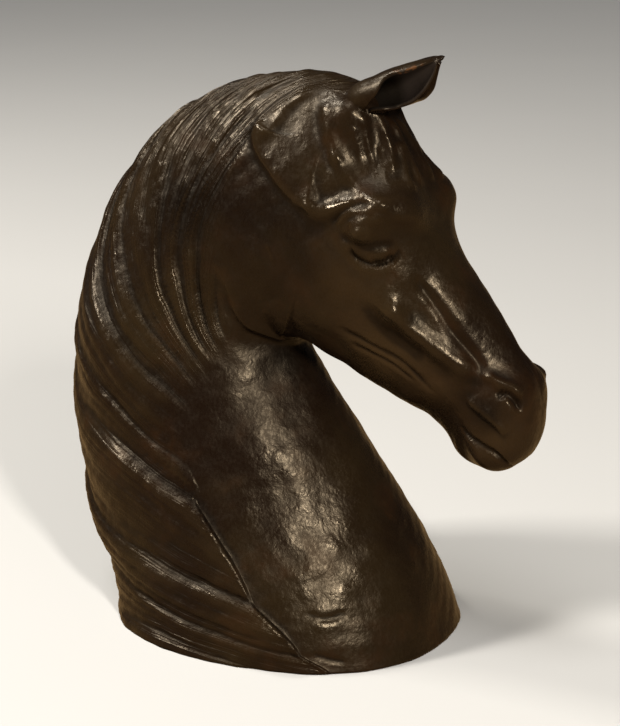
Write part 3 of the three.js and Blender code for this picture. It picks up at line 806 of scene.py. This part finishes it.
class Nodes:
    """Short way to lay out a material's nodes."""

    def __init__(self, name):
        self.material = bpy.data.materials.new(name)
        self.material.use_nodes = True
        self.tree = self.material.node_tree
        self.tree.nodes.clear()
        output = self.tree.nodes.new("ShaderNodeOutputMaterial")
        self.shader = self.tree.nodes.new("ShaderNodeBsdfPrincipled")
        self.tree.links.new(self.shader.outputs["BSDF"], output.inputs["Surface"])

    def put(self, value, socket):
        """Links an output to a socket, or sets the socket to a plain value."""
        if isinstance(value, bpy.types.NodeSocket):
            self.tree.links.new(value, socket)
        else:
            socket.default_value = value

    def attribute(self, name):
        """The number stored for each vertex under a name."""
        node = self.tree.nodes.new("ShaderNodeAttribute")
        node.attribute_name = name
        return node.outputs["Fac"]

    def place(self):
        """The piece's own coordinates."""
        return self.tree.nodes.new("ShaderNodeTexCoord").outputs["Object"]

    def noise(self, scale, detail, roughness, stretch=(1, 1, 1)):
        """Noise over the piece's own coordinates."""
        mapping = self.tree.nodes.new("ShaderNodeMapping")
        mapping.inputs["Scale"].default_value = stretch
        self.put(self.place(), mapping.inputs["Vector"])
        node = self.tree.nodes.new("ShaderNodeTexNoise")
        node.inputs["Scale"].default_value = scale
        node.inputs["Detail"].default_value = detail
        node.inputs["Roughness"].default_value = roughness
        self.put(mapping.outputs["Vector"], node.inputs["Vector"])
        return node.outputs["Fac"]

    def hair_lines(self, across, along, close):
        """Noise drawn out along the hair, close across the locks and sparse along them."""
        place = self.tree.nodes.new("ShaderNodeCombineXYZ")
        self.put(self.math("MULTIPLY", across, close[0]), place.inputs["X"])
        self.put(self.math("MULTIPLY", along, close[1]), place.inputs["Y"])
        node = self.tree.nodes.new("ShaderNodeTexNoise")
        node.inputs["Scale"].default_value = 1.0
        node.inputs["Detail"].default_value = HAIR_DETAIL
        self.put(place.outputs["Vector"], node.inputs["Vector"])
        return node.outputs["Fac"]

    def math(self, operation, a, b):
        """One step of arithmetic on two values."""
        node = self.tree.nodes.new("ShaderNodeMath")
        node.operation = operation
        for value, socket in zip((a, b), node.inputs):
            self.put(value, socket)
        return node.outputs["Value"]

    def spread(self, value, low, high, to_low, to_high):
        """A value carried smoothly from one range onto another."""
        node = self.tree.nodes.new("ShaderNodeMapRange")
        node.interpolation_type = "SMOOTHSTEP"
        for item, socket in zip((value, low, high, to_low, to_high), node.inputs):
            self.put(item, socket)
        return node.outputs["Result"]

    def mix(self, share, a, b):
        """Two colours mixed by the share of the second."""
        node = self.tree.nodes.new("ShaderNodeMix")
        node.data_type = "RGBA"
        self.put(share, node.inputs["Factor"])
        self.put(a, node.inputs["A"])
        self.put(b, node.inputs["B"])
        return node.outputs["Result"]

    def bump(self, height, strength, distance, under=None):
        """The normal tilted by a height, over the normal under it."""
        node = self.tree.nodes.new("ShaderNodeBump")
        node.inputs["Strength"].default_value = strength
        node.inputs["Distance"].default_value = distance
        self.put(height, node.inputs["Height"])
        if under is not None:
            self.put(under, node.inputs["Normal"])
        return node.outputs["Normal"]


def wax(nodes, settings):
    """Soft warm gloss of the wax."""
    nodes.shader.inputs["Specular IOR Level"].default_value = WAX_SPECULAR
    nodes.shader.inputs["Specular Tint"].default_value = (*settings.wax_tint, 1)


def body_leather(settings):
    """Waxed dark brown leather: crinkled grain, olive and red brown patches, painted light and shade, fine
    hair lines on the mane.
    """
    nodes = Nodes("body_leather")
    relief = nodes.attribute("relief")
    cover = nodes.attribute("hair_cover")
    across = nodes.attribute("hair_across")
    along = nodes.attribute("hair_along")
    gap = nodes.attribute("mane_gap")
    cloud = nodes.noise(*CLOUD)
    hatch = nodes.noise(*HATCH, stretch=HATCH_STRETCH)
    dark_brown = (*settings.dark_brown, 1)
    painted_shade_black = (*settings.painted_shade_black, 1)
    olive = nodes.spread(nodes.noise(*PATCHES), *OLIVE_SHARE)
    colour = nodes.mix(olive, dark_brown, (*settings.olive_brown, 1))
    colour = nodes.mix(nodes.spread(cloud, *RED_SHARE), colour, (*settings.red_brown, 1))
    # Painted light: a lighter warm brown on the jaw, cheek and lips.
    colour = nodes.mix(nodes.attribute("warm"), colour, (*settings.painted_light_brown, 1))
    # Painted shade from the shade spots.
    colour = nodes.mix(nodes.attribute("dark"), colour, painted_shade_black)
    colour = nodes.mix(nodes.spread(relief, *WORN_SHARE), colour, (*settings.worn_brown, 1))
    # Painted shade: the creases, where the carving lies below its surroundings, darkened towards the shade
    # black.
    colour = nodes.mix(nodes.spread(relief, *CREASE_SHADE_SHARE), colour, painted_shade_black)
    nodes.put(colour, nodes.shader.inputs["Base Color"])
    gloss = settings.gloss_roughness
    low, high, smoother, rougher = CLOUD_ROUGHNESS
    rough = nodes.spread(cloud, low, high, gloss + smoother, gloss + rougher)
    rough = nodes.math("ADD", rough, nodes.spread(hatch, *HATCH_ROUGHNESS))
    rough = nodes.math("ADD", rough, nodes.spread(relief, *RELIEF_ROUGHNESS))
    rough = nodes.math("ADD", rough, nodes.math("MULTIPLY", nodes.attribute("dull"), DULL_ROUGHNESS))
    nodes.put(rough, nodes.shader.inputs["Roughness"])
    fine = nodes.math("SUBTRACT", nodes.hair_lines(across, along, FINE_HAIR), 0.5)
    fine = nodes.math("MULTIPLY", fine, FINE_HEIGHT)
    coarse = nodes.spread(nodes.hair_lines(across, along, COARSE_HAIR), *COARSE_HEIGHT)
    hair = nodes.math("MULTIPLY", nodes.math("ADD", fine, coarse), cover)
    rim = nodes.math("MULTIPLY", nodes.spread(gap, *RIM_RISE), nodes.spread(gap, *RIM_FALL))
    rim = nodes.math("MULTIPLY", rim, nodes.attribute("mane_crisp"))
    normal = nodes.bump(nodes.noise(*CRINKLE), CRINKLE_STRENGTH, settings.crinkle_depth)
    normal = nodes.bump(hair, HAIR_STRENGTH, settings.hair_depth, normal)
    normal = nodes.bump(rim, HAIR_STRENGTH, settings.hair_depth, normal)
    normal = nodes.bump(hatch, *HATCH_BUMP, normal)
    normal = nodes.bump(nodes.noise(*PORES), *PORE_BUMP, normal)
    nodes.put(normal, nodes.shader.inputs["Normal"])
    wax(nodes, settings)
    return nodes.material


def ear_leather(settings):
    """Leaf leather: glossy brown outside, matte grey brown and painted shade inside, tan where the rim is
    worn.
    """
    nodes = Nodes("ear_leather")
    inside = nodes.attribute("inside")
    cloud = nodes.noise(*EAR_CLOUD)
    fibre = nodes.noise(*EAR_FIBRE)
    olive = nodes.spread(cloud, *EAR_OLIVE_SHARE)
    colour = nodes.mix(olive, (*settings.dark_brown, 1), (*settings.olive_brown, 1))
    colour = nodes.mix(inside, colour, (*settings.flesh_side, 1))
    # Painted shade deep in the hollow, fading towards the tip.
    colour = nodes.mix(nodes.attribute("depth"), colour, (*settings.painted_shade_black, 1))
    worn = nodes.math("MULTIPLY", nodes.attribute("rim"), nodes.spread(fibre, *EAR_WORN_SHARE))
    colour = nodes.mix(worn, colour, (*settings.worn_tan, 1))
    nodes.put(colour, nodes.shader.inputs["Base Color"])
    rough = nodes.spread(inside, 0, 1, settings.gloss_roughness, INSIDE_ROUGHNESS)
    rough = nodes.math("ADD", rough, nodes.spread(cloud, *EAR_CLOUD_ROUGHNESS))
    nodes.put(rough, nodes.shader.inputs["Roughness"])
    normal = nodes.bump(fibre, *EAR_FIBRE_BUMP)
    normal = nodes.bump(nodes.noise(*EAR_PORES), *EAR_PORE_BUMP, normal)
    nodes.put(normal, nodes.shader.inputs["Normal"])
    wax(nodes, settings)
    return nodes.material


def floor_finish(settings):
    """Pale matte floor with a faint mottle."""
    nodes = Nodes("pale_floor")
    pale = settings.floor_colour
    soft = tuple(channel * MOTTLE_SHADE for channel in pale)
    colour = nodes.mix(nodes.noise(*FLOOR_MOTTLE), (*pale, 1), (*soft, 1))
    nodes.put(colour, nodes.shader.inputs["Base Color"])
    nodes.shader.inputs["Roughness"].default_value = FLOOR_ROUGHNESS
    return nodes.material


class BustLeather(bpy.types.PropertyGroup):
    """Sizes and colours of the leather."""

    lock_height: bpy.props.FloatProperty(
        name="Lock height",
        description="Height of the largest locks of the mane",
        default=0.0056, unit="LENGTH",
    )
    crinkle_depth: bpy.props.FloatProperty(
        name="Crinkle depth",
        description="Depth of the crinkles of the leather",
        default=0.0022, unit="LENGTH",
    )
    hair_depth: bpy.props.FloatProperty(
        name="Hair depth",
        description="Depth of the fine hair lines of the mane",
        default=0.0022, unit="LENGTH",
    )
    gloss_roughness: bpy.props.FloatProperty(
        name="Gloss roughness",
        description="Roughness of the waxed leather",
        default=0.25, subtype="FACTOR", min=0, max=1,
    )
    dark_brown: bpy.props.FloatVectorProperty(
        name="Dark brown",
        description="Main colour of the leather",
        default=(0.007, 0.0035, 0.0019), subtype="COLOR",
    )
    olive_brown: bpy.props.FloatVectorProperty(
        name="Olive brown",
        description="Lighter patches",
        default=(0.0145, 0.0086, 0.0036), subtype="COLOR",
    )
    red_brown: bpy.props.FloatVectorProperty(
        name="Red brown", description="Warm patches", default=(0.021, 0.0086, 0.0029), subtype="COLOR"
    )
    # Painted light: the lighter warm brown of the jaw, cheek and lips, where front light falls.
    painted_light_brown: bpy.props.FloatVectorProperty(
        name="Warm brown",
        description="Jaw, cheek and lips",
        default=(0.030, 0.0165, 0.0065), subtype="COLOR",
    )
    worn_brown: bpy.props.FloatVectorProperty(
        name="Worn brown", description="Rubbed ridges", default=(0.025, 0.015, 0.0065), subtype="COLOR"
    )
    # Painted shade: the near black that the creases, the shade spots and the hollows of the ears are mixed
    # towards. It is painted shade, not wax or dirt.
    painted_shade_black: bpy.props.FloatVectorProperty(
        name="Hollow black",
        description="Wax and dirt in the hollows",
        default=(0.003, 0.002, 0.0015), subtype="COLOR",
    )
    worn_tan: bpy.props.FloatVectorProperty(
        name="Worn tan",
        description="Bare rim of the ears",
        default=(0.085, 0.033, 0.011), subtype="COLOR",
    )
    wax_tint: bpy.props.FloatVectorProperty(
        name="Wax tint",
        description="Warm tint of the wax in its highlights",
        default=(1.0, 0.8, 0.55), subtype="COLOR",
    )
    flesh_side: bpy.props.FloatVectorProperty(
        name="Flesh side",
        description="Matte inside of the ears",
        default=(0.016, 0.0115, 0.0095), subtype="COLOR",
    )


class BustStage(bpy.types.PropertyGroup):
    """Floor and lights."""

    floor_colour: bpy.props.FloatVectorProperty(
        name="Floor colour",
        description="Colour of the floor",
        default=(0.5, 0.487, 0.465), subtype="COLOR",
    )
    key_power: bpy.props.FloatProperty(
        name="Key power", description="Power of the front light", default=95.0, unit="POWER"
    )
    left_power: bpy.props.FloatProperty(
        name="Left power",
        description="Power of the light on the mane's side",
        default=100.0, unit="POWER",
    )
    crown_power: bpy.props.FloatProperty(
        name="Crown power", description="Power of the light on the crown", default=40.0, unit="POWER"
    )
    sky_power: bpy.props.FloatProperty(
        name="Sky power", description="Strength of the even light from above", default=1.1, min=0
    )
    world_strength: bpy.props.FloatProperty(
        name="World strength", description="Strength of the light all round", default=0.035, min=0
    )
    room_colour: bpy.props.FloatVectorProperty(
        name="Room colour",
        description="Warm room that the wax reflects",
        default=(0.47, 0.285, 0.12), subtype="COLOR",
    )
    backdrop_colour: bpy.props.FloatVectorProperty(
        name="Backdrop colour",
        description="Colour seen past the floor",
        default=(0.24, 0.235, 0.225), subtype="COLOR",
    )


class BUST_OT_body(bpy.types.Operator):
    """Make the carved head, neck and mane"""

    bl_idname = "bust.body"
    bl_label = "Head, Neck and Mane"

    def execute(self, context):
        settings = context.scene.bust_leather
        points, values = body_surface(settings)
        rows, columns = points.shape[:2]
        quads = closed_grid_faces(rows - 1, columns)
        tip = (rows - 1) * columns
        last_ring = np.arange(tip - columns, tip)
        muzzle_fan = np.stack([last_ring, np.roll(last_ring, -1), np.full(columns, tip)], 1)
        underside = np.arange(columns)[::-1]
        piece = mesh_from("horse_head_skin", to_tip(points), quads, [*muzzle_fan, underside])
        piece.data.polygons[-1].use_smooth = False
        for name, value in values.items():
            add_attribute(piece, name, to_tip(value))
        piece.data.materials.append(body_leather(settings))
        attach(piece, "root")
        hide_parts("horse_head")
        return {"FINISHED"}


class BUST_OT_ears(bpy.types.Operator):
    """Make the two rolled ears"""

    bl_idname = "bust.ears"
    bl_label = "Ears"

    def execute(self, context):
        settings = context.scene.bust_leather
        finish = ear_leather(settings)
        points = ear_surface()
        rows, ring = points.shape[:2]
        half = ring // 2
        column = np.broadcast_to(np.arange(ring), (rows, ring))
        inside = (column < half).astype(float)
        part = np.linspace(0, 1, rows)[:, None]
        near_rim = np.minimum(column, ring - 1 - column)
        rim = 1 - ease(0, EAR_RIM_COLUMNS, near_rim)
        rim = rim * ease(*EAR_RIM_START, part) * (1 - ease(*EAR_RIM_END, part))
        for name, mirror in (("right_ear", 1), ("left_ear", -1)):
            quads = closed_grid_faces(rows, ring)
            caps = [np.arange(ring)[::-1], np.arange(ring) + (rows - 1) * ring]
            if mirror < 0:
                quads = quads[:, ::-1]
                caps = [cap[::-1] for cap in caps]
            piece = mesh_from(name + "_leaf", points * (1, mirror, 1), quads, caps)
            add_attribute(piece, "inside", inside)
            # Painted shade on the inside of the leaf near its root.
            add_attribute(piece, "depth", inside * (1 - ease(*EAR_HOLLOW_SHADE, part)))
            add_attribute(piece, "rim", rim)
            piece.data.materials.append(finish)
            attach(piece, "root")
            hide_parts(name)
        return {"FINISHED"}


def aim(thing, place, target):
    """Puts a light or camera at a place, looking at a target, both in millimetres."""
    turn = (Vector(target) - Vector(place)).to_track_quat("-Z", "Y").to_matrix().to_4x4()
    thing.matrix_world = Matrix.Translation(Vector(place) * MM) @ turn


def direction(azimuth, elevation):
    """Unit vector from the object towards an azimuth, 0 in front of its right side, and an elevation."""
    a = math.radians(azimuth)
    e = math.radians(elevation)
    return np.array((math.sin(a) * math.cos(e), -math.cos(a) * math.cos(e), math.sin(e)))


def add_light(name, power, azimuth, elevation, width, height, colour):
    """An area light that looks at the middle of the bust."""
    lamp = bpy.data.lights.new(name, "AREA")
    lamp.shape = "RECTANGLE"
    lamp.size = width * MM
    lamp.size_y = height * MM
    lamp.energy = power
    lamp.color = colour
    thing = bpy.data.objects.new(name, lamp)
    bpy.context.scene.collection.objects.link(thing)
    aim(thing, LIGHT_AIM + LIGHT_DISTANCE * direction(azimuth, elevation), LIGHT_AIM)


def room_light(settings):
    """World light: even and dim, warm below the horizon in reflections, and a pale backdrop to the camera."""
    world = bpy.data.worlds.new("studio")
    world.use_nodes = True
    tree = world.node_tree
    place = tree.nodes.new("ShaderNodeTexCoord")
    split = tree.nodes.new("ShaderNodeSeparateXYZ")
    tree.links.new(place.outputs["Generated"], split.inputs["Vector"])
    low = tree.nodes.new("ShaderNodeMapRange")
    low.inputs["From Min"].default_value, low.inputs["From Max"].default_value = HORIZON
    tree.links.new(split.outputs["Z"], low.inputs["Value"])
    ray = tree.nodes.new("ShaderNodeLightPath")
    share = tree.nodes.new("ShaderNodeMath")
    share.operation = "MULTIPLY"
    tree.links.new(low.outputs["Result"], share.inputs[0])
    tree.links.new(ray.outputs["Is Glossy Ray"], share.inputs[1])
    mix = tree.nodes.new("ShaderNodeMix")
    mix.data_type = "RGBA"
    mix.inputs["A"].default_value = (*EVEN_LIGHT * settings.world_strength, 1)
    mix.inputs["B"].default_value = (*settings.room_colour, 1)
    tree.links.new(share.outputs["Value"], mix.inputs["Factor"])
    seen = tree.nodes.new("ShaderNodeMix")
    seen.data_type = "RGBA"
    tree.links.new(mix.outputs["Result"], seen.inputs["A"])
    seen.inputs["B"].default_value = (*settings.backdrop_colour, 1)
    tree.links.new(ray.outputs["Is Camera Ray"], seen.inputs["Factor"])
    tree.links.new(seen.outputs["Result"], tree.nodes["Background"].inputs["Color"])
    return world


class BUST_OT_stage(bpy.types.Operator):
    """Make the floor, the lights and the camera"""

    bl_idname = "bust.stage"
    bl_label = "Floor, Lights and Camera"

    def execute(self, context):
        settings = context.scene.bust_stage
        scene = context.scene
        corners = FLOOR_HALF_SIDE * np.array([(-1, -1, 0), (1, -1, 0), (1, 1, 0), (-1, 1, 0)])
        floor = mesh_from("floor", corners - (0, 0, FLOOR_DROP), np.array([[0, 1, 2, 3]]))
        floor.data.materials.append(floor_finish(settings))
        floor.visible_glossy = False
        scene.world = room_light(settings)
        for name, power, *place in LIGHTS:
            add_light(name, getattr(settings, power), *place)
        sky = bpy.data.lights.new("sky_light", "SUN")
        sky.energy = settings.sky_power
        sky.angle = math.radians(SKY_SPREAD)
        lamp = bpy.data.objects.new("sky_light", sky)
        scene.collection.objects.link(lamp)
        aim(lamp, SKY_HEIGHT * direction(SKY_AZIMUTH, SKY_ELEVATION), np.zeros(3))
        scene.view_settings.view_transform = "Standard"
        camera = bpy.data.cameras.new("photo_camera")
        camera.sensor_fit = "VERTICAL"
        camera.sensor_height = SENSOR
        camera.lens = SENSOR * PIXELS_PER_MM * CAMERA_DISTANCE / PHOTO_SIZE[1]
        camera.clip_start = CLIP_START
        camera.clip_end = CLIP_END
        thing = bpy.data.objects.new("photo_camera", camera)
        scene.collection.objects.link(thing)
        towards = direction(CAMERA_AZIMUTH, CAMERA_ELEVATION)
        aim(thing, CAMERA_AIM + CAMERA_DISTANCE * towards, CAMERA_AIM)
        scene.camera = thing
        return {"FINISHED"}


class BUST_PT_panel(bpy.types.Panel):
    """Sidebar panel of the bust"""

    bl_idname = "BUST_PT_panel"
    bl_label = "Leather Horse Head"
    bl_space_type = "VIEW_3D"
    bl_region_type = "UI"
    bl_category = "Bust"

    def draw(self, context):
        """Lists the settings and then the steps."""
        layout = self.layout
        for group in (context.scene.bust_leather, context.scene.bust_stage):
            for name in group.__annotations__:
                layout.prop(group, name)
        for operator in (BUST_OT_body, BUST_OT_ears, BUST_OT_stage):
            layout.operator(operator.bl_idname)


CLASSES = (BustLeather, BustStage, BUST_OT_body, BUST_OT_ears, BUST_OT_stage, BUST_PT_panel)


def register():
    """Makes the classes and their settings known."""
    for cls in CLASSES:
        bpy.utils.register_class(cls)
    bpy.types.Scene.bust_leather = bpy.props.PointerProperty(type=BustLeather)
    bpy.types.Scene.bust_stage = bpy.props.PointerProperty(type=BustStage)


def unregister():
    """Takes the settings and the classes away again."""
    del bpy.types.Scene.bust_stage
    del bpy.types.Scene.bust_leather
    for cls in reversed(CLASSES):
        bpy.utils.unregister_class(cls)


def main():
    """Builds the bust and its stage."""
    register()
    bpy.ops.bust.body()
    bpy.ops.bust.ears()
    bpy.ops.bust.stage()


if __name__ == "__main__":
    main()
